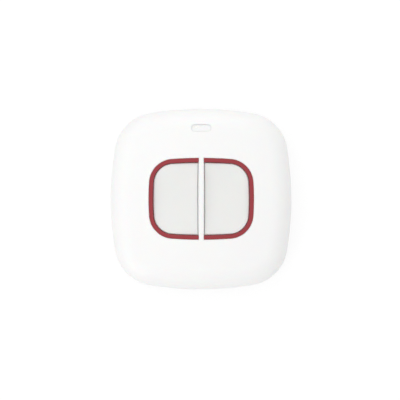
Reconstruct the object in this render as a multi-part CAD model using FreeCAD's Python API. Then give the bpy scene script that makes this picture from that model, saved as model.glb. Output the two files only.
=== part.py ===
import FreeCAD, Part
import math
import os

# Wireless panic button with two press keys: a domed white case of about 60 by 60 by 17 mm, with two grey
# finger keys side by side in one red trim ring, and a raised divider between them that keeps one finger
# from pressing both. It runs from a coin cell and hangs on two wall screws, or stands on its back.
#
# Frame: the origin is the middle of the back face. +Z points out of the front, +X to the right and +Y
# towards the indicator window, as seen from the front. All sizes are millimetres and degrees.

V = FreeCAD.Vector

# Case outline, seen from the front: four slightly bowed sides and four round corners
CASE_WIDTH = 60.0
CASE_HEIGHT = 60.0
CASE_BOW = 105.0
CASE_CORNER = 14.0

# Case shell
WALL = 2.0
REAR_FLOOR = 1.6
PARTING_HEIGHT = 4.0
DOME_RADIUS = 130.0
DOME_EDGE = 8.0
REAR_EDGE = 2.5
SEAM_STEP = 0.25
SEAM_GAP = 0.05
LIP_HEIGHT = 1.2
LIP_THICKNESS = 1.0
LIP_CLEARANCE = 0.15
GUSSET = 1.2

# Opening in the dome, and the red trim ring in it
OPENING_WIDTH = 34.7
OPENING_HEIGHT = 26.9
OPENING_SIDE_BOW = 87.0
OPENING_END_BOW = 135.0
OPENING_CORNER = 8.0
OPENING_BEVEL = 0.18
SEAT_DEPTH = 3.15
SEAT_MARGIN = 3.2
TRIM_WIDTH = 1.36
TRIM_DROP = 0.05
TRIM_CLEARANCE = 0.03
TRIM_ROUND = 0.3
TRIM_FLANGE_REACH = 1.6
TRIM_FLANGE_THICKNESS = 1.0
TRIM_FLANGE_GAP = 0.15

# Divider between the keys
DIVIDER_WIDTH = 1.5
DIVIDER_DRAFT = 7.0
KEEL_END_GAP = 0.3

# Keys
KEY_GAP = 0.12
KEY_TRAVEL = 0.6
KEY_PLAY = 0.1
KEY_STOP_GAP = 0.1
KEY_DISH_RADIUS = 90.0
KEY_DISH_DEPTH = 2.1
KEY_ROUND = 0.4
KEY_ROOF = 1.5
KEY_SKIRT = 1.2
KEY_RIB = 0.8
KEY_FLANGE_REACH = 1.0
KEY_FLANGE_THICKNESS = 0.8
KEY_POST_DIAMETER = 4.0
KEY_POST_GAP = 0.05
GUIDE_PIN_DIAMETER = 2.0
GUIDE_PIN_CLEARANCE = 0.08
GUIDE_PIN_REACH = 0.5
GUIDE_PIN_SPACING = 17.0

# Carrier, the frame that holds the trim ring and the keys from behind
CARRIER_FLOOR = 1.2
CARRIER_WALL_GAP = 0.25
CARRIER_EAR_RADIUS = 2.5
CARRIER_SCREW_X = 12.0
CARRIER_SCREW_MARGIN = 4.9

# Circuit board and the parts on it
BOARD_THICKNESS = 1.0
BOARD_GAP = 0.45
SWITCH_SIZE = 6.0
SWITCH_BODY_HEIGHT = 3.5
SWITCH_ROUND = 0.3
SWITCH_COVER = 0.3
SWITCH_REACH = 5.0
SWITCH_PLUNGER_DIAMETER = 3.5
SWITCH_FOOT_REACH = 0.6
SWITCH_FOOT_THICKNESS = 0.6
SWITCH_DOME_ROOM = 0.3
SWITCH_CLEARANCE = 0.06
SWITCH_WINDOW_GAP = 0.5
PART_GAP = 1.6
CHIP_SIZE = 7.0
CHIP_HEIGHT = 0.9
CHIP_GAP = 7.0
CHIP_DOT_DIAMETER = 0.7
CHIP_DOT_DEPTH = 0.1
CHIP_DOT_MARGIN = 1.0
CRYSTAL_LENGTH = 3.2
CRYSTAL_WIDTH = 1.5
CRYSTAL_HEIGHT = 0.8
CRYSTAL_ROUND = 0.3
CAPACITOR_LENGTH = 1.6
CAPACITOR_WIDTH = 0.8
CAPACITOR_HEIGHT = 0.7
CAPACITOR_PITCH = 2.4
CAPACITOR_COUNT = 4
RADIO_LENGTH = 12.0
RADIO_WIDTH = 7.5
RADIO_HEIGHT = 1.8
RADIO_ROUND = 0.3
RADIO_GAP = 5.7
ANTENNA_LENGTH = 26.0
ANTENNA_WIDTH = 1.6
ANTENNA_HEIGHT = 3.4
ANTENNA_THICKNESS = 0.4
ANTENNA_FEED_GAP = 4.0
ANTENNA_END_DROP = 2.0

# Indicator window: a clear light pipe in a slot above the keys, over a small lamp on the board
WINDOW_LENGTH = 6.5
WINDOW_WIDTH = 2.3
WINDOW_MARGIN = 6.6
WINDOW_CLEARANCE = 0.02
WINDOW_DROP = 0.35
WINDOW_SOCKET_DEPTH = 4.8
WINDOW_SOCKET_MARGIN = 2.0
WINDOW_FLANGE_REACH = 1.1
WINDOW_FLANGE_GAP = 0.1
WINDOW_FLANGE_THICKNESS = 0.8
WINDOW_FOOT_LENGTH = 3.4
WINDOW_FOOT_WIDTH = 1.8
LAMP_LENGTH = 2.0
LAMP_WIDTH = 1.25
LAMP_HEIGHT = 0.8
LAMP_LENS_LENGTH = 1.4
LAMP_GAP = 0.3

# Coin cell, its holder and its contacts, under the board
CELL_DIAMETER = 20.0
CELL_THICKNESS = 3.2
CELL_CAP_DIAMETER = 17.6
CELL_CAP_HEIGHT = 0.5
CELL_EDGE = 0.4
CELL_CLEARANCE = 0.15
HOLDER_WALL = 1.4
HOLDER_DROP = 0.4
HOLDER_FINGER_GAP = 9.0
CLIP_THICKNESS = 0.25
CLIP_WIDTH = 6.0
CLIP_GAP = 0.15
CLIP_FLOOR_GAP = 0.25
CONTACT_HEIGHT = 0.6
CONTACT_THICKNESS = 0.2
CONTACT_WIDTH = 3.0
CONTACT_LENGTH = 10.0
CONTACT_BOW_LENGTH = 6.0
CONTACT_TOUCH_LENGTH = 2.0

# Seal in the seam
SEAL_WIDTH = 0.8
SEAL_DEPTH = 0.5
SEAL_CLEARANCE = 0.05
SEAL_SETBACK = 0.5

# Screws: all are driven from behind into round bosses
SCREW_DIAMETER = 1.9
SCREW_POINT = 0.6
SCREW_HEAD_DIAMETER = 3.8
SCREW_HEAD_HEIGHT = 1.3
SCREW_HEAD_EDGE = 0.4
SCREW_HEAD_GAP = 0.4
SCREW_HOLE_GAP = 0.25
SCREW_BITE_GAP = 0.02
SCREW_CROSS_WIDTH = 0.6
SCREW_CROSS_LENGTH = 2.4
SCREW_CROSS_DEPTH = 0.7
BOSS_WALL = 1.5
BOSS_DEPTH_SPARE = 0.4
CASE_SCREW_LENGTH = 8.0
CASE_SCREW_RECESS = 0.9
CASE_SCREW_MARGIN = 10.0
BOARD_SCREW_LENGTH = 5.0
BOARD_SCREW_MARGIN = 7.0
BOARD_SCREW_Y = 11.0
CARRIER_SCREW_LENGTH = 3.4

# Keyhole pockets in the back, for hanging on two wall screws
KEYHOLE_SPACING = 35.0
KEYHOLE_HEAD_DIAMETER = 7.0
KEYHOLE_SLOT_WIDTH = 3.6
KEYHOLE_SLOT_LENGTH = 5.0
KEYHOLE_LOWER_Y = -2.0
KEYHOLE_POCKET_DEPTH = 2.9
KEYHOLE_POCKET_WALL = 0.9
KEYHOLE_POCKET_GAP = 0.3

# Heights, stacked up from the back face
CLIP_BOTTOM = REAR_FLOOR + CLIP_FLOOR_GAP
CELL_BOTTOM = CLIP_BOTTOM + CLIP_THICKNESS
CELL_TOP = CELL_BOTTOM + CELL_THICKNESS
BOARD_BOTTOM = CELL_TOP + CONTACT_HEIGHT
BOARD_TOP = BOARD_BOTTOM + BOARD_THICKNESS
PLUNGER_TOP = BOARD_TOP + SWITCH_REACH
KEY_BOTTOM = PLUNGER_TOP + KEY_POST_GAP
KEY_FLANGE_TOP = KEY_BOTTOM + KEY_FLANGE_THICKNESS
TRIM_BOTTOM = KEY_FLANGE_TOP + KEY_PLAY
SEAT_HEIGHT = TRIM_BOTTOM + TRIM_FLANGE_THICKNESS
CROWN = SEAT_HEIGHT + SEAT_DEPTH
SOCKET_HEIGHT = CROWN - WINDOW_SOCKET_DEPTH
CARRIER_TOP = KEY_BOTTOM - KEY_TRAVEL - KEY_STOP_GAP
CARRIER_BOTTOM = CARRIER_TOP - CARRIER_FLOOR

# Sizes and places that several pieces share
SWITCH_X = (DIVIDER_WIDTH / 2 + OPENING_WIDTH / 2 - TRIM_WIDTH) / 2
WINDOW_Y = CASE_HEIGHT / 2 - WINDOW_MARGIN
CHIP_Y = SWITCH_SIZE / 2 + CHIP_GAP + CHIP_SIZE / 2
RADIO_Y = -(SWITCH_SIZE / 2 + RADIO_GAP + RADIO_WIDTH / 2)
CELL_SEAT_DIAMETER = CELL_DIAMETER + 2 * CELL_CLEARANCE
COLUMN_DIAMETER = SCREW_HEAD_DIAMETER + 2 * (SCREW_HEAD_GAP + BOSS_WALL)
SEAL_INSET = SEAM_STEP + SEAL_SETBACK

# Height clear above the whole case, and how near counts as touching when edges are picked
ABOVE = CROWN + DOME_EDGE
TINY = 1e-4


def both(x):
    return (-x, x)


def corners(x, y):
    return [(sx, sy) for sx in both(x) for sy in both(y)]


# Where the screws stand, and the height of the case screws' seats
CASE_SCREW_SEAT = CASE_SCREW_RECESS + SCREW_HEAD_HEIGHT
CASE_SCREW_PLACES = corners(CASE_WIDTH / 2 - CASE_SCREW_MARGIN, CASE_HEIGHT / 2 - CASE_SCREW_MARGIN)
BOARD_SCREW_PLACES = corners(CASE_WIDTH / 2 - BOARD_SCREW_MARGIN, BOARD_SCREW_Y)
CARRIER_SCREW_Y = OPENING_HEIGHT / 2 + CARRIER_SCREW_MARGIN
CARRIER_SCREW_PLACES = corners(CARRIER_SCREW_X, CARRIER_SCREW_Y)

# The antenna stands a quarter of the way from the carrier's ears out to the cover's wall
ANTENNA_Y = -(3 * (CARRIER_SCREW_Y + CARRIER_EAR_RADIUS) + CASE_HEIGHT / 2 - WALL) / 4


def bowed_outline(width, height, side_bow, end_bow, corner, z):
    """Closed wire of a round-cornered rectangle whose four sides bow outwards, with tangent corner arcs."""
    end_centre = V(0, height / 2 - end_bow, 0)
    side_centre = V(width / 2 - side_bow, 0, 0)
    base = side_centre - end_centre
    end_reach = end_bow - corner
    side_reach = side_bow - corner
    along = (end_reach**2 - side_reach**2 + base.Length**2) / (2 * base.Length)
    across = math.sqrt(end_reach**2 - along**2)
    base.normalize()
    centre = end_centre + base * along + V(base.y, -base.x, 0) * across
    to_end = (centre - end_centre).normalize()
    to_side = (centre - side_centre).normalize()
    end_tangent = centre + to_end * corner
    side_tangent = centre + to_side * corner
    corner_middle = centre + (to_end + to_side).normalize() * corner
    edges = []

    def arc(*points):
        edges.append(Part.Arc(*[V(p.x, p.y, z) for p in points]).toShape())

    def flipped(point, sx, sy):
        return V(point.x * sx, point.y * sy, 0)

    for signs in corners(1, 1):
        arc(*[flipped(p, *signs) for p in (end_tangent, corner_middle, side_tangent)])
    for sign in (1, -1):
        arc(flipped(end_tangent, -1, sign), V(0, sign * height / 2, 0), flipped(end_tangent, 1, sign))
        arc(flipped(side_tangent, sign, -1), V(sign * width / 2, 0, 0), flipped(side_tangent, sign, 1))
    return Part.Wire(Part.__sortEdges__(edges))


def case_outline(inset, z):
    return bowed_outline(
        CASE_WIDTH - 2 * inset, CASE_HEIGHT - 2 * inset, CASE_BOW - inset, CASE_BOW - inset, CASE_CORNER - inset, z
    )


def opening_outline(inset, z):
    return bowed_outline(
        OPENING_WIDTH - 2 * inset,
        OPENING_HEIGHT - 2 * inset,
        OPENING_SIDE_BOW - inset,
        OPENING_END_BOW - inset,
        OPENING_CORNER - inset,
        z,
    )


def window_outline(length, width, z):
    """Closed wire of a slot with round ends, lying along X at the indicator window."""
    half = (length - width) / 2
    r = width / 2
    y = WINDOW_Y
    edges = [
        Part.LineSegment(V(-half, y + r, z), V(half, y + r, z)),
        Part.Arc(V(half, y + r, z), V(half + r, y, z), V(half, y - r, z)),
        Part.LineSegment(V(half, y - r, z), V(-half, y - r, z)),
        Part.Arc(V(-half, y - r, z), V(-half - r, y, z), V(-half, y + r, z)),
    ]
    return Part.Wire([edge.toShape() for edge in edges])


def prism(wire, top):
    """Solid from a flat wire straight up to the height top."""
    return Part.Face(wire).extrude(V(0, 0, top - wire.BoundBox.ZMin))


def block(x, y, z, length, width, height):
    """Box centred on (x, y), standing on the height z."""
    return Part.makeBox(length, width, height, V(x - length / 2, y - width / 2, z))


def spoke(x, y, z, length, width, height):
    """Box that starts at (x, y), runs away from the middle of the case and stands on the height z."""
    bar = Part.makeBox(length, width, height, V(0, -width / 2, z))
    bar.rotate(V(0, 0, 0), V(0, 0, 1), math.degrees(math.atan2(y, x)))
    bar.translate(V(x, y, 0))
    return bar


def rod(x, y, bottom, top, diameter):
    return Part.makeCylinder(diameter / 2, top - bottom, V(x, y, bottom))


def fuse(shapes):
    return shapes[0].fuse(shapes[1:]).removeSplitter()


def mirrored(shape):
    return shape.mirror(V(0, 0, 0), V(1, 0, 0))


def middle(edge):
    return edge.valueAt((edge.FirstParameter + edge.LastParameter) / 2)


def at_height(shape, z):
    """The shape's edges that lie at the height z."""
    return [edge for edge in shape.Edges if abs(edge.BoundBox.ZMin - z) < TINY and edge.BoundBox.ZLength < TINY]


def upright(shape):
    """The shape's edges that stand straight up."""
    return [edge for edge in shape.Edges if abs(edge.BoundBox.ZLength - edge.Length) < TINY]


def bent_strip(points, thickness, width, y):
    """Metal strip of the given width, bent along (x, z) points, its thickness laid on their left side."""
    path = Part.makePolygon([V(x, y - width / 2, z) for x, z in points])
    return path.makeOffset2D(thickness, 0, True, True).extrude(V(0, width, 0))


def dome_ball(inset):
    """Ball whose upper surface is the dome, pulled in by inset. Its poles lie along Y, clear of the dome."""
    ball = Part.makeSphere(DOME_RADIUS - inset)
    ball.rotate(V(0, 0, 0), V(1, 0, 0), 90)
    ball.translate(V(0, 0, CROWN - DOME_RADIUS))
    return ball


def dome_edges(shape, inset):
    """The shape's edges that lie on the dome, pulled in by inset."""
    centre = V(0, 0, CROWN - DOME_RADIUS)

    def lies_on(point):
        return abs(point.distanceToPoint(centre) - (DOME_RADIUS - inset)) < TINY

    return [edge for edge in shape.Edges if all(map(lies_on, [middle(edge)] + [v.Point for v in edge.Vertexes]))]


def pebble(inset):
    """The case's domed form above the seam, pulled in by inset on every side."""
    form = prism(case_outline(inset, -DOME_EDGE), ABOVE).common(dome_ball(inset))
    form = form.makeFillet(DOME_EDGE - inset, dome_edges(form, inset))
    return form.cut(block(0, 0, -DOME_EDGE, 2 * CASE_WIDTH, 2 * CASE_HEIGHT, DOME_EDGE + PARTING_HEIGHT))


def divider_wedge(grow, bottom, top, length):
    """The divider's section, run along Y: it widens downwards by its draft, and is straight above the dome."""
    slope = math.tan(math.radians(DIVIDER_DRAFT))
    right = []
    for z in sorted({bottom, min(top, CROWN + DIVIDER_WIDTH), top}):
        half = DIVIDER_WIDTH / 2 + grow + max(CROWN - z, -DIVIDER_WIDTH) * slope
        right.append(V(half, -length / 2, z))
    left = [V(-p.x, p.y, p.z) for p in reversed(right)]
    return Part.Face(Part.makePolygon(right + left + right[:1])).extrude(V(0, length, 0))


def screw_bites(places, seat, length):
    """Blind holes for screws that come up from the height seat."""
    top = seat + length + BOSS_DEPTH_SPARE
    return [rod(x, y, seat, top, SCREW_DIAMETER + 2 * SCREW_BITE_GAP) for x, y in places]


def screw_passages(places):
    """Wide holes right through a piece that the screws clamp."""
    return [rod(x, y, 0, ABOVE, SCREW_DIAMETER + 2 * SCREW_HOLE_GAP) for x, y in places]


def screw(x, y, seat, length):
    """Cross-recess screw pointing up, its head seated under the height seat."""
    under = seat - SCREW_HEAD_HEIGHT
    head = rod(x, y, under, seat, SCREW_HEAD_DIAMETER)
    head = head.makeChamfer(SCREW_HEAD_EDGE, at_height(head, under))
    arms = (SCREW_CROSS_LENGTH, SCREW_CROSS_WIDTH)
    head = head.cut([block(x, y, under, *size, SCREW_CROSS_DEPTH) for size in (arms, arms[::-1])])
    shank_top = seat + length - SCREW_POINT
    shank = rod(x, y, seat, shank_top, SCREW_DIAMETER)
    point = Part.makeCone(SCREW_DIAMETER / 2, SCREW_DIAMETER / 4, SCREW_POINT, V(x, y, shank_top))
    return fuse([head, shank, point])


def screws(places, seat, length):
    return [screw(x, y, seat, length) for x, y in places]


def cover_solids():
    """What stands inside the front cover's shell: ring seat, divider keel, window socket, bosses and gussets."""
    boss = SCREW_DIAMETER + 2 * BOSS_WALL
    keel_length = OPENING_HEIGHT - 2 * (TRIM_WIDTH + KEEL_END_GAP)
    socket_length = WINDOW_LENGTH + 2 * WINDOW_SOCKET_MARGIN
    socket_width = WINDOW_WIDTH + 2 * WINDOW_SOCKET_MARGIN
    solids = [
        prism(opening_outline(-SEAT_MARGIN, SEAT_HEIGHT), ABOVE),
        divider_wedge(0.0, KEY_BOTTOM, SEAT_HEIGHT, keel_length),
        prism(window_outline(socket_length, socket_width, SOCKET_HEIGHT), ABOVE),
    ]
    for x, y in CASE_SCREW_PLACES:
        solids.append(rod(x, y, BOARD_BOTTOM, ABOVE, boss))
        solids.append(spoke(x, y, BOARD_TOP, CASE_CORNER, GUSSET, CROWN))
    solids += [rod(x, y, BOARD_TOP, ABOVE, boss) for x, y in BOARD_SCREW_PLACES]
    solids += [rod(x, y, CARRIER_TOP, ABOVE, boss) for x, y in CARRIER_SCREW_PLACES]
    return solids


def keyways():
    """The opening's two halves, one each side of the divider."""
    return prism(opening_outline(0.0, 0.0), ABOVE).cut(divider_wedge(0.0, 0.0, ABOVE, CASE_HEIGHT))


def cover_cutters():
    """What is cut out of the front cover: seats for the ring and the window, the window slot and screw holes."""
    opening = prism(opening_outline(0.0, 0.0), ABOVE)
    flange_length = WINDOW_LENGTH + 2 * (WINDOW_FLANGE_REACH + WINDOW_FLANGE_GAP)
    flange_width = WINDOW_WIDTH + 2 * (WINDOW_FLANGE_REACH + WINDOW_FLANGE_GAP)
    return [
        prism(opening_outline(-TRIM_FLANGE_REACH - TRIM_FLANGE_GAP, KEY_BOTTOM), SEAT_HEIGHT).cut(opening),
        prism(window_outline(WINDOW_LENGTH, WINDOW_WIDTH, 0.0), ABOVE),
        prism(window_outline(flange_length, flange_width, SOCKET_HEIGHT - WINDOW_FLANGE_THICKNESS), SOCKET_HEIGHT),
        *screw_bites(CASE_SCREW_PLACES, CASE_SCREW_SEAT, CASE_SCREW_LENGTH),
        *screw_bites(BOARD_SCREW_PLACES, BOARD_BOTTOM, BOARD_SCREW_LENGTH),
        *screw_bites(CARRIER_SCREW_PLACES, CARRIER_BOTTOM, CARRIER_SCREW_LENGTH),
    ]


def front_cover():
    """Domed front moulding, of one wall thickness, with the divider left standing across the key opening."""
    around = prism(opening_outline(-OPENING_BEVEL, 0.0), ABOVE)
    dome = pebble(0.0).cut(keyways())
    rims = [edge for edge in dome_edges(dome, 0.0) if around.isInside(middle(edge), TINY, True)]
    dome = dome.makeChamfer(OPENING_BEVEL, rims)
    return dome.cut(pebble(WALL).cut(cover_solids())).cut(cover_cutters())


def trim_ring():
    """Red ring: a flange clamped behind the cover, and a band that shows round the keys, notched for the divider."""
    flange = prism(opening_outline(-TRIM_FLANGE_REACH, TRIM_BOTTOM), SEAT_HEIGHT)
    band = prism(opening_outline(TRIM_CLEARANCE, TRIM_BOTTOM), ABOVE).common(dome_ball(TRIM_DROP))
    band = band.cut(divider_wedge(TRIM_CLEARANCE, SEAT_HEIGHT, ABOVE, CASE_HEIGHT))
    ring = fuse([flange, band]).cut(prism(opening_outline(TRIM_WIDTH, 0.0), ABOVE))
    inside = prism(opening_outline(TRIM_WIDTH - TRIM_ROUND, 0.0), ABOVE)
    rims = [edge for edge in dome_edges(ring, TRIM_DROP) if inside.isInside(middle(edge), TINY, True)]
    return ring.makeFillet(TRIM_ROUND, rims)


def key_form(inset, gap, bottom, top):
    """Upright form of one key, right of the divider: inset from the opening's edge, gap clear of the divider."""
    left = block(-CASE_WIDTH / 2, 0, bottom, CASE_WIDTH, CASE_HEIGHT, top - bottom)
    return prism(opening_outline(inset, bottom), top).cut([left, divider_wedge(gap, 0.0, ABOVE, CASE_HEIGHT)])


def key():
    """Right-hand key: a dished cap with a hollow back, ribs, a flange that holds it in, a post and guide pins."""
    inset = TRIM_WIDTH + KEY_GAP
    dish_height = CROWN - KEY_DISH_DEPTH
    dish_axis = V(0, 0, dish_height + KEY_DISH_RADIUS)
    dish = Part.makeCylinder(KEY_DISH_RADIUS, CASE_WIDTH, dish_axis, V(1, 0, 0))
    cap = key_form(inset, KEY_GAP, KEY_BOTTOM, ABOVE).cut(dish)

    def off_axis(edge):
        return math.hypot(middle(edge).y - dish_axis.y, middle(edge).z - dish_axis.z)

    cap = cap.makeFillet(KEY_ROUND, [edge for edge in cap.Edges if abs(off_axis(edge) - KEY_DISH_RADIUS) < TINY])
    flange = key_form(inset - KEY_FLANGE_REACH, KEY_GAP, KEY_BOTTOM, KEY_FLANGE_TOP)
    roof = dish_height - KEY_ROOF
    hollow = key_form(inset + KEY_SKIRT, KEY_GAP + KEY_SKIRT, 0.0, roof)
    pin_places = [(SWITCH_X, y) for y in both(GUIDE_PIN_SPACING / 2)]
    kept = [
        rod(SWITCH_X, 0, 0, ABOVE, KEY_POST_DIAMETER),
        block(SWITCH_X, 0, KEY_FLANGE_TOP, CASE_WIDTH, KEY_RIB, CROWN),
        block(SWITCH_X, 0, KEY_FLANGE_TOP, KEY_RIB, CASE_HEIGHT, CROWN),
    ]
    pins = [rod(*place, CARRIER_BOTTOM - GUIDE_PIN_REACH, roof, GUIDE_PIN_DIAMETER) for place in pin_places]
    return fuse([fuse([cap, flange]).cut(hollow.cut(kept))] + pins)


def button_carrier():
    """Frame behind the keys: its wall clamps the trim ring, and its floor stops and guides the keys."""
    frame = prism(opening_outline(-TRIM_FLANGE_REACH, CARRIER_BOTTOM), TRIM_BOTTOM)
    ear = 2 * CARRIER_EAR_RADIUS
    for x, y in CARRIER_SCREW_PLACES:
        frame = frame.fuse(rod(x, y, CARRIER_BOTTOM, CARRIER_TOP, ear))
        frame = frame.fuse(block(x, y / 2, CARRIER_BOTTOM, ear, abs(y), CARRIER_FLOOR))
    well_inset = TRIM_WIDTH + KEY_GAP - KEY_FLANGE_REACH - CARRIER_WALL_GAP
    window = SWITCH_SIZE + 2 * SWITCH_WINDOW_GAP
    guide = GUIDE_PIN_DIAMETER + 2 * GUIDE_PIN_CLEARANCE
    cutters = [prism(opening_outline(well_inset, CARRIER_TOP), ABOVE)]
    cutters += [block(x, 0, 0, window, window, ABOVE) for x in both(SWITCH_X)]
    cutters += [rod(x, y, 0, ABOVE, guide) for x, y in corners(SWITCH_X, GUIDE_PIN_SPACING / 2)]
    return frame.removeSplitter().cut(cutters + screw_passages(CARRIER_SCREW_PLACES))


def light_pipe():
    """Clear window in the slot, with a flange behind the cover and a stem that narrows down to the lamp."""
    length = WINDOW_LENGTH - 2 * WINDOW_CLEARANCE
    width = WINDOW_WIDTH - 2 * WINDOW_CLEARANCE
    flange_bottom = SOCKET_HEIGHT - WINDOW_FLANGE_THICKNESS
    plug = prism(window_outline(length, width, flange_bottom), ABOVE).common(dome_ball(WINDOW_DROP))
    reach = 2 * WINDOW_FLANGE_REACH
    flange = prism(window_outline(WINDOW_LENGTH + reach, WINDOW_WIDTH + reach, flange_bottom), SOCKET_HEIGHT)
    foot = window_outline(WINDOW_FOOT_LENGTH, WINDOW_FOOT_WIDTH, BOARD_TOP + LAMP_HEIGHT + LAMP_GAP)
    stem = Part.makeLoft([foot, window_outline(length, width, flange_bottom)], True, True)
    return fuse([plug, flange, stem])


def keyhole_pocket(x):
    """The box behind one keyhole, and what is cut out of it and of the floor for the wall screw's head."""
    slot_top = KEYHOLE_LOWER_Y + KEYHOLE_SLOT_LENGTH
    room = KEYHOLE_HEAD_DIAMETER / 2 + KEYHOLE_POCKET_GAP
    y = (KEYHOLE_LOWER_Y + slot_top) / 2
    length = KEYHOLE_SLOT_LENGTH + 2 * room
    wall = KEYHOLE_POCKET_WALL
    ceiling = REAR_FLOOR + KEYHOLE_POCKET_DEPTH
    box = block(x, y, 0, 2 * (room + wall), length + 2 * wall, ceiling + wall)
    cutters = [
        block(x, y, REAR_FLOOR, 2 * room, length, KEYHOLE_POCKET_DEPTH),
        rod(x, KEYHOLE_LOWER_Y, 0, REAR_FLOOR, KEYHOLE_HEAD_DIAMETER),
        rod(x, slot_top, 0, REAR_FLOOR, KEYHOLE_SLOT_WIDTH),
        block(x, y, 0, KEYHOLE_SLOT_WIDTH, KEYHOLE_SLOT_LENGTH, REAR_FLOOR),
    ]
    return box, cutters


def rear_cover():
    """Rear moulding: tray with a locating lip and a seal groove, screw columns and two keyhole pockets."""
    seam = PARTING_HEIGHT - SEAM_GAP
    tray = prism(case_outline(SEAM_STEP, 0.0), seam)
    tray = tray.makeFillet(REAR_EDGE, at_height(tray, 0.0))
    lip_inset = WALL + LIP_CLEARANCE
    lip = prism(case_outline(lip_inset, REAR_FLOOR), PARTING_HEIGHT + LIP_HEIGHT)
    tray = fuse([tray, lip]).cut(prism(case_outline(lip_inset + LIP_THICKNESS, REAR_FLOOR), ABOVE))
    solids = [rod(x, y, 0, BOARD_BOTTOM, COLUMN_DIAMETER) for x, y in CASE_SCREW_PLACES]
    head_room = SCREW_HEAD_DIAMETER + 2 * SCREW_HEAD_GAP
    cutters = [rod(x, y, 0, CASE_SCREW_SEAT, head_room) for x, y in CASE_SCREW_PLACES]
    cutters += screw_passages(CASE_SCREW_PLACES)
    for x in both(KEYHOLE_SPACING / 2):
        box, hollows = keyhole_pocket(x)
        solids.append(box)
        cutters += hollows
    groove_outer = prism(case_outline(SEAL_INSET - SEAL_CLEARANCE, PARTING_HEIGHT - SEAL_DEPTH), ABOVE)
    groove_inner = prism(case_outline(SEAL_INSET + SEAL_WIDTH + SEAL_CLEARANCE, 0.0), ABOVE)
    return fuse([tray] + solids).cut(cutters + [groove_outer.cut(groove_inner)])


def case_seal():
    """Soft rubber ring in the rear cover's groove, under the front cover's rim."""
    ring = prism(case_outline(SEAL_INSET, PARTING_HEIGHT - SEAL_DEPTH), PARTING_HEIGHT)
    return ring.cut(prism(case_outline(SEAL_INSET + SEAL_WIDTH, 0.0), ABOVE))


def circuit_board():
    """Board cut away round the case screws' columns, with holes for its own screws."""
    board = prism(case_outline(WALL + LIP_CLEARANCE + LIP_THICKNESS + BOARD_GAP, BOARD_BOTTOM), BOARD_TOP)
    notch = COLUMN_DIAMETER + 2 * BOARD_GAP
    cutters = [rod(x, y, 0, ABOVE, notch) for x, y in CASE_SCREW_PLACES]
    cutters += [spoke(x, y, 0, CASE_CORNER, notch, ABOVE) for x, y in CASE_SCREW_PLACES]
    return board.cut(cutters + screw_passages(BOARD_SCREW_PLACES))


def switch_body():
    """Right-hand tactile switch: a square case whose chamber holds the plunger's foot in."""
    top = BOARD_TOP + SWITCH_BODY_HEIGHT
    body = block(SWITCH_X, 0, BOARD_TOP, SWITCH_SIZE, SWITCH_SIZE, SWITCH_BODY_HEIGHT)
    body = body.makeFillet(SWITCH_ROUND, upright(body))
    foot = SWITCH_PLUNGER_DIAMETER + 2 * (SWITCH_FOOT_REACH + SWITCH_CLEARANCE)
    ceiling = top - SWITCH_COVER
    floor = ceiling - SWITCH_FOOT_THICKNESS - KEY_TRAVEL - SWITCH_DOME_ROOM
    bore = rod(SWITCH_X, 0, floor, ABOVE, SWITCH_PLUNGER_DIAMETER + 2 * SWITCH_CLEARANCE)
    return body.cut([rod(SWITCH_X, 0, floor, ceiling, foot), bore])


def switch_plunger():
    """Right-hand switch's plunger: a round stem with a wider foot."""
    foot_top = BOARD_TOP + SWITCH_BODY_HEIGHT - SWITCH_COVER - SWITCH_CLEARANCE
    foot_bottom = foot_top - SWITCH_FOOT_THICKNESS
    stem = rod(SWITCH_X, 0, foot_bottom, PLUNGER_TOP, SWITCH_PLUNGER_DIAMETER)
    stem = stem.makeChamfer(SWITCH_ROUND, at_height(stem, PLUNGER_TOP))
    foot = rod(SWITCH_X, 0, foot_bottom, foot_top, SWITCH_PLUNGER_DIAMETER + 2 * SWITCH_FOOT_REACH)
    return fuse([stem, foot])


def status_lamp():
    """Small lamp on the board, under the light pipe: a base with a shorter lens on it."""
    base = block(0, WINDOW_Y, BOARD_TOP, LAMP_LENGTH, LAMP_WIDTH, LAMP_HEIGHT / 2)
    lens = block(0, WINDOW_Y, BOARD_TOP + LAMP_HEIGHT / 2, LAMP_LENS_LENGTH, LAMP_WIDTH, LAMP_HEIGHT / 2)
    return fuse([base, lens])


def microcontroller():
    """Flat square chip, with a dot that marks its first corner."""
    top = BOARD_TOP + CHIP_HEIGHT
    chip = block(0, CHIP_Y, BOARD_TOP, CHIP_SIZE, CHIP_SIZE, CHIP_HEIGHT)
    offset = CHIP_SIZE / 2 - CHIP_DOT_MARGIN
    return chip.cut(rod(-offset, CHIP_Y + offset, top - CHIP_DOT_DEPTH, top, CHIP_DOT_DIAMETER))


def radio_module():
    """Radio stage under a folded steel can with round edges."""
    can = block(0, RADIO_Y, BOARD_TOP, RADIO_LENGTH, RADIO_WIDTH, RADIO_HEIGHT)
    return can.makeFillet(RADIO_ROUND, at_height(can, BOARD_TOP + RADIO_HEIGHT))


def crystal():
    """Timing crystal beside the chip, in a low can with round corners."""
    x = CHIP_SIZE / 2 + PART_GAP + CRYSTAL_LENGTH / 2
    can = block(x, CHIP_Y, BOARD_TOP, CRYSTAL_LENGTH, CRYSTAL_WIDTH, CRYSTAL_HEIGHT)
    return can.makeFillet(CRYSTAL_ROUND, upright(can))


def capacitors():
    """Row of small capacitors on the other side of the chip."""
    x = -(CHIP_SIZE / 2 + PART_GAP + CAPACITOR_LENGTH / 2)
    first = CHIP_Y - CAPACITOR_PITCH * (CAPACITOR_COUNT - 1) / 2
    size = (CAPACITOR_LENGTH, CAPACITOR_WIDTH, CAPACITOR_HEIGHT)
    return [block(x, first + CAPACITOR_PITCH * i, BOARD_TOP, *size) for i in range(CAPACITOR_COUNT)]


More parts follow.
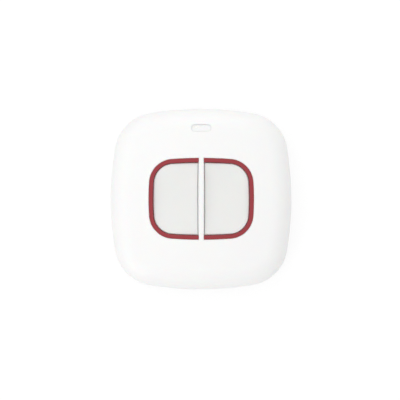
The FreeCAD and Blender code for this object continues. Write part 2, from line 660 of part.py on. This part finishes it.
def antenna():
    """Bent metal strip along the lower edge of the board: a ground leg, a feed leg and a turned-down end."""
    left = -ANTENNA_LENGTH / 2
    right = ANTENNA_LENGTH / 2
    top = BOARD_TOP + ANTENNA_HEIGHT
    path = [(left, BOARD_TOP), (left, top), (right, top), (right, top - ANTENNA_END_DROP)]
    strip = bent_strip(path, ANTENNA_THICKNESS, ANTENNA_WIDTH, ANTENNA_Y)
    feed = block(left + ANTENNA_FEED_GAP, ANTENNA_Y, BOARD_TOP, ANTENNA_THICKNESS, ANTENNA_WIDTH, ANTENNA_HEIGHT)
    return fuse([strip, feed])


def coin_cell():
    """Coin cell: the wide can of its positive pole below, the narrower cap of its negative pole above."""
    shoulder = CELL_TOP - CELL_CAP_HEIGHT
    can = rod(0, 0, CELL_BOTTOM, shoulder, CELL_DIAMETER)
    can = can.makeChamfer(CELL_EDGE, at_height(can, CELL_BOTTOM) + at_height(can, shoulder))
    cap = rod(0, 0, CELL_BOTTOM + CELL_CAP_HEIGHT, CELL_TOP, CELL_CAP_DIAMETER)
    return fuse([can, cap.makeChamfer(CELL_EDGE / 2, at_height(cap, CELL_TOP))])


def battery_holder():
    """Plastic ring under the board that keeps the cell in place, cut away for two fingers and for the clip."""
    bottom = CELL_BOTTOM + HOLDER_DROP
    ring = rod(0, 0, bottom, BOARD_BOTTOM, CELL_SEAT_DIAMETER + 2 * HOLDER_WALL)
    cutters = [
        rod(0, 0, 0, BOARD_BOTTOM, CELL_SEAT_DIAMETER),
        block(0, 0, 0, HOLDER_FINGER_GAP, CASE_HEIGHT, CELL_TOP),
        block(0, 0, 0, CASE_WIDTH, CLIP_WIDTH + 2 * CLIP_GAP, CELL_TOP),
    ]
    return ring.cut(cutters)


def positive_clip():
    """Sheet-metal strap across the back of the cell, with a leg up to the board on each side."""
    reach = CELL_SEAT_DIAMETER / 2 + HOLDER_WALL + CLIP_GAP
    path = [(reach, BOARD_BOTTOM), (reach, CELL_BOTTOM), (-reach, CELL_BOTTOM), (-reach, BOARD_BOTTOM)]
    return bent_strip(path, CLIP_THICKNESS, CLIP_WIDTH, 0)


def negative_spring():
    """Leaf under the board: two soldered feet and a bow that presses on the cell's cap."""
    foot = BOARD_BOTTOM - CONTACT_THICKNESS
    path = [
        (-CONTACT_LENGTH / 2, foot),
        (-CONTACT_BOW_LENGTH / 2, foot),
        (-CONTACT_TOUCH_LENGTH / 2, CELL_TOP),
        (CONTACT_TOUCH_LENGTH / 2, CELL_TOP),
        (CONTACT_BOW_LENGTH / 2, foot),
        (CONTACT_LENGTH / 2, foot),
    ]
    return bent_strip(path, CONTACT_THICKNESS, CONTACT_WIDTH, 0)


def pieces():
    """Every piece by its name. A list is a group of like pieces."""
    return {
        "front_cover": front_cover(),
        "trim_ring": trim_ring(),
        "left_button": mirrored(key()),
        "right_button": key(),
        "button_carrier": button_carrier(),
        "light_pipe": light_pipe(),
        "rear_cover": rear_cover(),
        "case_seal": case_seal(),
        "circuit_board": circuit_board(),
        "left_switch_body": mirrored(switch_body()),
        "right_switch_body": switch_body(),
        "left_switch_plunger": mirrored(switch_plunger()),
        "right_switch_plunger": switch_plunger(),
        "status_lamp": status_lamp(),
        "microcontroller": microcontroller(),
        "radio_module": radio_module(),
        "crystal": crystal(),
        "capacitors": capacitors(),
        "antenna": antenna(),
        "coin_cell": coin_cell(),
        "battery_holder": battery_holder(),
        "positive_clip": positive_clip(),
        "negative_spring": negative_spring(),
        "case_screws": screws(CASE_SCREW_PLACES, CASE_SCREW_SEAT, CASE_SCREW_LENGTH),
        "board_screws": screws(BOARD_SCREW_PLACES, BOARD_BOTTOM, BOARD_SCREW_LENGTH),
        "carrier_screws": screws(CARRIER_SCREW_PLACES, CARRIER_BOTTOM, CARRIER_SCREW_LENGTH),
    }


os.makedirs("parts", exist_ok=True)
for name, made in pieces().items():
    shape = Part.makeCompound(made) if isinstance(made, list) else made
    shape.exportStep("parts/" + name + ".step")
    print(f"{name}: {len(shape.Solids)} solid(s), valid {shape.isValid()}, volume {shape.Volume:.1f} mm3")
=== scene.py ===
"""Looks of a wireless panic button.

It has a white moulded case, a red trim ring, two grey finger keys and a milky window. Lengths are
metres, in the part's own frame: the back lies on z = 0, the front faces +Z, the window is at +Y.
"""

import math

import bpy
from mathutils import Matrix, Vector

MM = 0.001

# Camera: a long lens, square to the front but for a little to the left and below
FRAME_WIDTH = 133.1 * MM
LENS = 300.0
SENSOR = 36.0
AIM = Vector((-0.38, -0.3, 6.0)) * MM
CAMERA_LEFT = 0.25
CAMERA_LOW = 0.5

# Studio: an even white room, and three large soft lamps from above the window and from the left
ROOM_ABOVE = 0.924
ROOM_BELOW = 0.644
ROOM_SEEN = 1.0
HORIZON_BLUR = 0.02
LAMP_SIZE = 0.5
TOP_LAMP = {"place": (0.0, 0.658, 0.239), "power": 0.638}
LEFT_LAMP = {"place": (-0.465, -0.465, 0.239), "power": 0.74}
KEY_LAMP = {"place": (-0.379, 0.379, 0.45), "power": 0.237}
FLOOR_SIZE = 6.0
FLOOR_GAP = 0.02 * MM
FLOOR_COLOUR = (0.4, 0.4, 0.4)
FLOOR_ROUGHNESS = 0.9
FLOOR_LIFT = 0.63

# Softened edges: how far the normal turns where an edge begins, and where it is full, as cosines
EDGE_BEGINS = 0.995
EDGE_FULL = 0.8

# Board: one patch of the slow noise has tracks along it, the other has tracks across it
TRACK_WIDTH = 0.06
TRACK_SCALE = 0.55
TRACK_LENGTH = 3.1
TRACK_SPACING = 0.45
TRACK_STEP = 0.37
TRACK_HEIGHT = 0.03
TRACK_PATCHES = 0.14
ALONG_FROM, ALONG_TO = 0.51, 0.53
ACROSS_FROM, ACROSS_TO = 0.47, 0.45
BOARD_COAT = {"Coat Weight": 0.4, "Coat Roughness": 0.12}

# Light gets a little way into the pale plastics, and through the clear ones
SOFT = {"Subsurface Weight": 0.12, "Subsurface Scale": 0.35 * MM, "IOR": 1.5}
FROSTED = {
    "Subsurface Weight": 0.12,
    "Subsurface Scale": 0.4 * MM,
    "Transmission Weight": 0.04,
    "IOR": 1.49,
}

# Moulded finishes by material slot. What each value means is said in moulded().
MOULDED = {
    "case_white": {
        "name": "white_case_plastic",
        "colour": (0.93, 0.93, 0.925),
        "deep": (0.915, 0.913, 0.905),
        "gloss": (0.36, 0.46),
        "grain": (0.22, 0.012),
        "flow": 0.05,
        "edge": 0.3,
        "constants": SOFT,
    },
    "trim_red": {
        "name": "red_trim_plastic",
        "colour": (0.33, 0.032, 0.042),
        "deep": (0.3, 0.027, 0.036),
        "gloss": (0.3, 0.4),
        "grain": (0.25, 0.006),
        "flow": 0.06,
        "edge": 0.08,
        "constants": {"IOR": 1.45},
    },
    "key_grey": {
        "name": "grey_key_plastic",
        "colour": (0.836, 0.839, 0.822),
        "deep": (0.806, 0.809, 0.792),
        "gloss": (0.42, 0.54),
        "grain": (0.18, 0.01),
        "flow": 0.1,
        "constants": SOFT,
    },
    "carrier_black": {
        "name": "black_carrier_plastic",
        "colour": (0.03, 0.03, 0.033),
        "deep": (0.02, 0.02, 0.022),
        "gloss": (0.4, 0.55),
        "grain": (0.3, 0.015),
        # painted highlight: colour made lighter along the edges
        "edge_highlight": 0.8,
    },
    "light_pipe": {
        "name": "frosted_window_plastic",
        "colour": (0.965, 0.965, 0.96),
        "deep": (0.955, 0.955, 0.95),
        "gloss": (0.22, 0.32),
        "grain": (0.12, 0.004),
        "constants": FROSTED,
    },
    "seal_rubber": {
        "name": "seal_rubber",
        "colour": (0.045, 0.045, 0.047),
        "deep": (0.03, 0.03, 0.03),
        "gloss": (0.55, 0.75),
        "grain": (0.2, 0.01),
    },
    "switch_black": {
        "name": "switch_plastic",
        "colour": (0.035, 0.035, 0.036),
        "deep": (0.022, 0.022, 0.022),
        "gloss": (0.35, 0.5),
        "grain": (0.2, 0.01),
        # painted highlight: colour made lighter along the edges
        "edge_highlight": 0.8,
    },
    "plunger_white": {
        "name": "plunger_plastic",
        "colour": (0.72, 0.68, 0.58),
        "deep": (0.66, 0.62, 0.52),
        "gloss": (0.35, 0.45),
        "grain": (0.2, 0.006),
    },
    "lamp_white": {
        "name": "lamp_resin",
        "colour": (0.85, 0.78, 0.45),
        "deep": (0.78, 0.7, 0.36),
        "gloss": (0.15, 0.25),
        "grain": (0.1, 0.002),
        "constants": FROSTED,
    },
    "chip_black": {
        "name": "chip_resin",
        "colour": (0.022, 0.022, 0.024),
        "deep": (0.016, 0.016, 0.017),
        "gloss": (0.5, 0.65),
        "grain": (0.1, 0.008),
    },
    "capacitor_tan": {
        "name": "capacitor_ceramic",
        "colour": (0.42, 0.27, 0.16),
        "deep": (0.34, 0.21, 0.12),
        "gloss": (0.3, 0.45),
        "grain": (0.1, 0.003),
    },
}

# Metal finishes by material slot. What each value means is said in plated().
PLATED = {
    "can_steel": {
        "name": "plated_can",
        "colour": (0.66, 0.66, 0.65),
        "dull": (0.5, 0.5, 0.5),
        "gloss": (0.25, 0.45),
        "line": 0.08,
    },
    "cell_steel": {
        "name": "nickel_cell_can",
        "colour": (0.72, 0.71, 0.68),
        "dull": (0.6, 0.59, 0.57),
        "gloss": (0.18, 0.36),
        "line": 0.1,
    },
    "contact_metal": {
        "name": "spring_strip",
        "colour": (0.74, 0.71, 0.64),
        "dull": (0.62, 0.58, 0.5),
        "gloss": (0.2, 0.38),
        "line": 0.05,
    },
    "screw_steel": {
        "name": "zinc_screw_steel",
        "colour": (0.62, 0.63, 0.66),
        "dull": (0.48, 0.49, 0.52),
        "gloss": (0.25, 0.45),
        "line": 0.06,
    },
}


def shade(tree, kind, inputs=None, **settings):
    """Adds one shader node. inputs gives each socket a value, or the socket that feeds it."""
    made = tree.nodes.new("ShaderNode" + kind)
    for key, value in settings.items():
        setattr(made, key, value)
    for key, value in (inputs or {}).items():
        if isinstance(value, bpy.types.NodeSocket):
            tree.links.new(value, made.inputs[key])
        else:
            made.inputs[key].default_value = value
    return made


def calc(tree, operation, *values):
    """The result of one sum on numbers or sockets."""
    return shade(tree, "Math", dict(enumerate(values)), operation=operation).outputs[0]


def ramp(tree, value, start, end, low=0.0, high=1.0, **settings):
    """value moved from the range start to end into the range low to high, and held inside it."""
    inputs = {"Value": value, "From Min": start, "From Max": end, "To Min": low, "To Max": high}
    return shade(tree, "MapRange", inputs, **settings).outputs[0]


def blend(tree, share, low, high):
    """A value between low and high, by share from 0 to 1."""
    return ramp(tree, share, 0.0, 1.0, low, high)


def tint(tree, share, low, high):
    """A colour between two colours, by share from 0 to 1."""
    mix = shade(tree, "Mix", data_type="RGBA")
    tree.links.new(share, mix.inputs["Factor"])
    for name, value in (("A", low), ("B", high)):
        socket = next(s for s in mix.inputs if s.name == name and s.type == "RGBA")
        if isinstance(value, bpy.types.NodeSocket):
            tree.links.new(value, socket)
        else:
            socket.default_value = (*value, 1.0)
    return next(s for s in mix.outputs if s.type == "RGBA")


def effect(name, inputs, outputs, build):
    """A shared effect: a node group with named float inputs and named outputs, filled by build."""
    tree = bpy.data.node_groups.new(name, "ShaderNodeTree")
    for label, value in inputs.items():
        socket = tree.interface.new_socket(label, in_out="INPUT", socket_type="NodeSocketFloat")
        socket.default_value = value
    for label, kind in outputs.items():
        tree.interface.new_socket(label, in_out="OUTPUT", socket_type="NodeSocket" + kind)
    entry = tree.nodes.new("NodeGroupInput")
    made = build(tree, entry.outputs)
    leave = tree.nodes.new("NodeGroupOutput")
    for label, socket in made.items():
        tree.links.new(socket, leave.inputs[label])
    return tree


def over(tree, size, stretch=(1, 1, 1)):
    """The surface's own coordinates, counted in steps of size."""
    place = shade(tree, "TexCoord").outputs["Object"]
    steps = calc(tree, "DIVIDE", 1.0, size)
    inputs = {0: place, "Scale": steps}
    scaled = shade(tree, "VectorMath", inputs, operation="SCALE").outputs[0]
    return shade(tree, "VectorMath", {0: scaled, 1: stretch}, operation="MULTIPLY").outputs[0]


def noise(tree, where, scale, detail, **inputs):
    """Soft random blotches, scale of them to a step of where, with finer ones added by detail."""
    inputs = {"Vector": where, "Scale": scale, "Detail": detail, **inputs}
    return shade(tree, "TexNoise", inputs).outputs[0]


def mould_grain(tree, given):
    """Spark-eroded mould texture: fine pits over a soft, uneven ground, and slow patches."""
    where = over(tree, given["Size"])
    pits = {"Vector": where, "Scale": 1.4, "Smoothness": 0.6}
    pits = shade(tree, "TexVoronoi", pits, feature="SMOOTH_F1").outputs[0]
    height = calc(tree, "MULTIPLY", noise(tree, where, 1.0, 3.0), pits)
    return {"Height": height, "Patches": noise(tree, where, 0.03, 2.0)}


def flow_marks(tree, given):
    """Faint smears of duller gloss, where the plastic flowed in the mould."""
    where = over(tree, given["Size"], (1.0, 0.45, 1.0))
    smears = noise(tree, where, 1.0, 2.0, Distortion=1.2)
    broken = noise(tree, where, 9.0, 4.0, Roughness=0.65)
    both = calc(tree, "MULTIPLY", smears, broken)
    return {"Marks": ramp(tree, both, 0.18, 0.42, interpolation_type="SMOOTHSTEP")}


def soft_edge(tree, given):
    """Softened edges: a rounded normal, and a mask that is 1 along the edges and 0 on the flats."""
    normal = shade(tree, "Bevel", {"Radius": given["Radius"]}, samples=4).outputs[0]
    flat = shade(tree, "NewGeometry").outputs["Normal"]
    turn = shade(tree, "VectorMath", {0: normal, 1: flat}, operation="DOT_PRODUCT")
    mask = ramp(tree, turn.outputs["Value"], EDGE_BEGINS, EDGE_FULL)
    return {"Normal": normal, "Edge": mask}


def drawn_lines(tree, given):
    """Long fine lines in rolled, drawn or brushed metal, and slow patches."""
    lines = noise(tree, over(tree, given["Size"], (0.04, 1.0, 1.0)), 1.0, 4.0)
    return {"Lines": lines, "Patches": noise(tree, over(tree, given["Size"]), 0.06, 3.0)}


def shared_effects():
    """Builds each shared effect once. Each material gives its own size, in place of these."""
    grain = {"Height": "Float", "Patches": "Float"}
    edge = {"Normal": "Vector", "Edge": "Float"}
    lines = {"Lines": "Float", "Patches": "Float"}
    return {
        "grain": effect("mould_grain", {"Size": 0.3 * MM}, grain, mould_grain),
        "flow": effect("flow_marks", {"Size": 7 * MM}, {"Marks": "Float"}, flow_marks),
        "edge": effect("soft_edge", {"Radius": 0.1 * MM}, edge, soft_edge),
        "lines": effect("drawn_lines", {"Size": 0.08 * MM}, lines, drawn_lines),
    }


def place_effect(tree, group, **inputs):
    """Puts a shared effect into a material with its own values."""
    made = tree.nodes.new("ShaderNodeGroup")
    made.node_tree = group
    for key, value in inputs.items():
        made.inputs[key].default_value = value
    return made.outputs


def new_finish(name, constants=None):
    """A material with one Principled shader, and the values that are the same all over it."""
    made = bpy.data.materials.new(name)
    made.use_nodes = True
    shader = made.node_tree.nodes["Principled BSDF"]
    for key, value in (constants or {}).items():
        shader.inputs[key].default_value = value
    return made, made.node_tree, shader


def feed(tree, shader, base, rough, height, depth, normal):
    """Joins colour, roughness and relief to the shader. depth is the relief's height in mm."""
    inputs = {"Height": height, "Distance": depth * MM, "Normal": normal, "Strength": 1.0}
    bump = shade(tree, "Bump", inputs)
    tree.links.new(base, shader.inputs["Base Color"])
    tree.links.new(rough, shader.inputs["Roughness"])
    tree.links.new(bump.outputs[0], shader.inputs["Normal"])


def moulded(
    effects, name, colour, deep, gloss, grain, flow=0.0, edge=0.1, edge_highlight=0.0, constants=None
):
    """Moulded plastic, resin, ceramic or rubber.

    colour and deep are its two shades, and gloss its roughness on its smooth and on its dull
    patches. grain is the size and the depth of its texture in mm, flow how much duller it is along
    its flow marks, edge the radius of its edges in mm, and edge_highlight how much lighter its
    colour is made along the edges, a painted highlight where light would catch them.
    """
    made, tree, shader = new_finish(name, constants)
    size, depth = grain
    texture = place_effect(tree, effects["grain"], Size=size * MM)
    edges = place_effect(tree, effects["edge"], Radius=edge * MM)
    base = tint(tree, texture["Patches"], deep, colour)
    rough = blend(tree, texture["Patches"], *gloss)
    if flow:
        marks = place_effect(tree, effects["flow"])["Marks"]
        rough = calc(tree, "MULTIPLY_ADD", marks, flow, rough)
    # Painted highlight: the colour is made lighter along the edges, where light would catch them.
    if edge_highlight:
        lit = tuple(min(1.0, c * (1 + edge_highlight)) for c in colour)
        base = tint(tree, edges["Edge"], base, lit)
    feed(tree, shader, base, rough, texture["Height"], depth, edges["Normal"])
    return made


def plated(effects, name, colour, dull, gloss, line, depth=0.0004, edge=0.05):
    """Plated or drawn metal.

    colour and dull are its two shades, gloss the range of its roughness, line and depth the width
    and the depth of its lines in mm, and edge the radius of its edges in mm.
    """
    made, tree, shader = new_finish(name, {"Metallic": 1.0})
    lines = place_effect(tree, effects["lines"], Size=line * MM)
    edges = place_effect(tree, effects["edge"], Radius=edge * MM)
    base = tint(tree, lines["Patches"], dull, colour)
    rough = blend(tree, lines["Lines"], *gloss)
    feed(tree, shader, base, rough, lines["Lines"], depth, edges["Normal"])
    return made


def track_lines(tree, where):
    """Copper tracks: long, thin parallel lines, with a step here and there. 1 on a track."""
    inputs = {
        "Vector": where,
        "Scale": TRACK_SCALE,
        "Mortar Size": TRACK_WIDTH,
        "Brick Width": TRACK_LENGTH,
        "Row Height": TRACK_SPACING,
    }
    return shade(tree, "TexBrick", inputs, offset=TRACK_STEP).outputs["Fac"]


def board_laminate(effects):
    """Green solder mask over copper, with patches of lighter, raised tracks along and across."""
    made, tree, shader = new_finish("board_laminate", BOARD_COAT)
    where = over(tree, 1 * MM)
    quarter = {"Vector": where, "Angle": math.pi / 2}
    turned = shade(tree, "VectorRotate", quarter, rotation_type="Z_AXIS").outputs[0]
    area = noise(tree, where, TRACK_PATCHES, 1.0)
    along = ramp(tree, area, ALONG_FROM, ALONG_TO)
    across = ramp(tree, area, ACROSS_FROM, ACROSS_TO)
    tracks = calc(tree, "MULTIPLY", track_lines(tree, where), along)
    tracks = calc(tree, "MULTIPLY_ADD", track_lines(tree, turned), across, tracks)
    grain = place_effect(tree, effects["grain"], Size=0.15 * MM)
    edges = place_effect(tree, effects["edge"], Radius=0.05 * MM)
    ground = tint(tree, grain["Patches"], (0.008, 0.075, 0.028), (0.012, 0.11, 0.04))
    base = tint(tree, tracks, ground, (0.022, 0.16, 0.058))
    rough = blend(tree, grain["Patches"], 0.28, 0.4)
    feed(tree, shader, base, rough, tracks, TRACK_HEIGHT, edges["Normal"])
    return made


def finishes(effects):
    """Each material slot's finish."""
    made = {slot: moulded(effects, **values) for slot, values in MOULDED.items()}
    made.update({slot: plated(effects, **values) for slot, values in PLATED.items()})
    made["board_green"] = board_laminate(effects)
    return made


def dress(nodes):
    """Gives every solid the finish of its material slot."""
    made = finishes(shared_effects())
    for solid in nodes.values():
        for slot in solid.material_slots:
            slot.material = made[slot.material.name.split(".")[0]]


def seen_directly(tree):
    """1 for what the camera sees, straight or through gloss or glass, 0 for light on things."""
    path = shade(tree, "LightPath").outputs
    seen = path["Is Camera Ray"]
    for ray in ("Is Glossy Ray", "Is Transmission Ray"):
        seen = calc(tree, "MAXIMUM", seen, path[ray])
    return seen


def white_room():
    """Even white light all round, dimmer from below as off a pale floor.

    The camera sees it as plain white.
    """
    world = bpy.data.worlds.new("white_room")
    world.use_nodes = True
    tree = world.node_tree
    ground = tree.nodes["Background"]
    ground.inputs["Color"].default_value = (1, 1, 1, 1)
    direction = shade(tree, "TexCoord").outputs["Generated"]
    height = shade(tree, "SeparateXYZ", {0: direction}).outputs["Z"]
    light = ramp(tree, height, -HORIZON_BLUR, HORIZON_BLUR, ROOM_BELOW, ROOM_ABOVE)
    level = blend(tree, seen_directly(tree), light, ROOM_SEEN)
    tree.links.new(level, ground.inputs["Strength"])
    bpy.context.scene.world = world


def floor_paper():
    """Pale paper, lifted to white where the camera sees it, and clear from below."""
    paper = bpy.data.materials.new("floor_paper")
    paper.use_nodes = True
    tree = paper.node_tree
    shader = tree.nodes["Principled BSDF"]
    shader.inputs["Base Color"].default_value = (*FLOOR_COLOUR, 1)
    shader.inputs["Roughness"].default_value = FLOOR_ROUGHNESS
    shader.inputs["Specular IOR Level"].default_value = 0.0
    lift = calc(tree, "MULTIPLY", seen_directly(tree), FLOOR_LIFT)
    glow = shade(tree, "Emission", {"Color": (1, 1, 1, 1), "Strength": lift}).outputs[0]
    front = shade(tree, "AddShader", {0: shader.outputs[0], 1: glow}).outputs[0]
    below = shade(tree, "NewGeometry").outputs["Backfacing"]
    clear = shade(tree, "BsdfTransparent").outputs[0]
    seen = shade(tree, "MixShader", {0: below, 1: front, 2: clear})
    tree.links.new(seen.outputs[0], tree.nodes["Material Output"].inputs["Surface"])
    return paper


def studio_floor():
    """Plain pale floor, with the part's soft shadow left on it.

    It lets the room's light up through it, so that the back can be looked at too.
    """
    mesh = bpy.data.meshes.new("studio_floor")
    half = FLOOR_SIZE / 2
    corners = [(-half, -half), (half, -half), (half, half), (-half, half)]
    mesh.from_pydata([(x, y, -FLOOR_GAP) for x, y in corners], [], [(0, 1, 2, 3)])
    floor = bpy.data.objects.new("studio_floor", mesh)
    bpy.context.scene.collection.objects.link(floor)
    mesh.materials.append(floor_paper())
    floor.visible_diffuse = False
    floor.visible_shadow = False


def aimed(name, data, place, target):
    """Puts a lamp or a camera at place, to look at target with the part's +Y upwards."""
    made = bpy.data.objects.new(name, data)
    back = (Vector(place) - Vector(target)).normalized()
    side = Vector((0, 1, 0)).cross(back).normalized()
    made.rotation_euler = Matrix((side, back.cross(side), back)).transposed().to_euler()
    made.location = place
    bpy.context.scene.collection.objects.link(made)
    return made


def soft_lamp(name, place, power):
    """A large round lamp, aimed at the middle of the part's back."""
    lamp = bpy.data.lights.new(name, "AREA")
    lamp.shape = "DISK"
    lamp.size = LAMP_SIZE
    lamp.energy = power
    aimed(name, lamp, place, (0, 0, 0)).visible_camera = False


def front_camera():
    """Long-lens camera in front of the part, at the photograph's viewing angle."""
    data = bpy.data.cameras.new("front_camera")
    data.lens = LENS
    data.sensor_width = SENSOR
    left, low = math.radians(CAMERA_LEFT), math.radians(CAMERA_LOW)
    back = Vector((-math.sin(left), -math.sin(low), 1.0)).normalized()
    distance = FRAME_WIDTH * LENS / SENSOR
    data.clip_start = distance / 100
    data.clip_end = distance * 10
    bpy.context.scene.camera = aimed("front_camera", data, AIM + back * distance, AIM)


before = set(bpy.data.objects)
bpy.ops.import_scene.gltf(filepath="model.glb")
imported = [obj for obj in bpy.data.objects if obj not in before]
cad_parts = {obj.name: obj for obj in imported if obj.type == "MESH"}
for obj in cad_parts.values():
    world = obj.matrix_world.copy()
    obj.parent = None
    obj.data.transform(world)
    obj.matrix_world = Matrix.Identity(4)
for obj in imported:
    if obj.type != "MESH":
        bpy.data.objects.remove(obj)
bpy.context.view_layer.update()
bpy.context.scene.view_settings.view_transform = "Standard"
front_camera()
dress(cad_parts)
white_room()
soft_lamp("top_lamp", **TOP_LAMP)
soft_lamp("left_lamp", **LEFT_LAMP)
soft_lamp("key_lamp", **KEY_LAMP)
studio_floor()
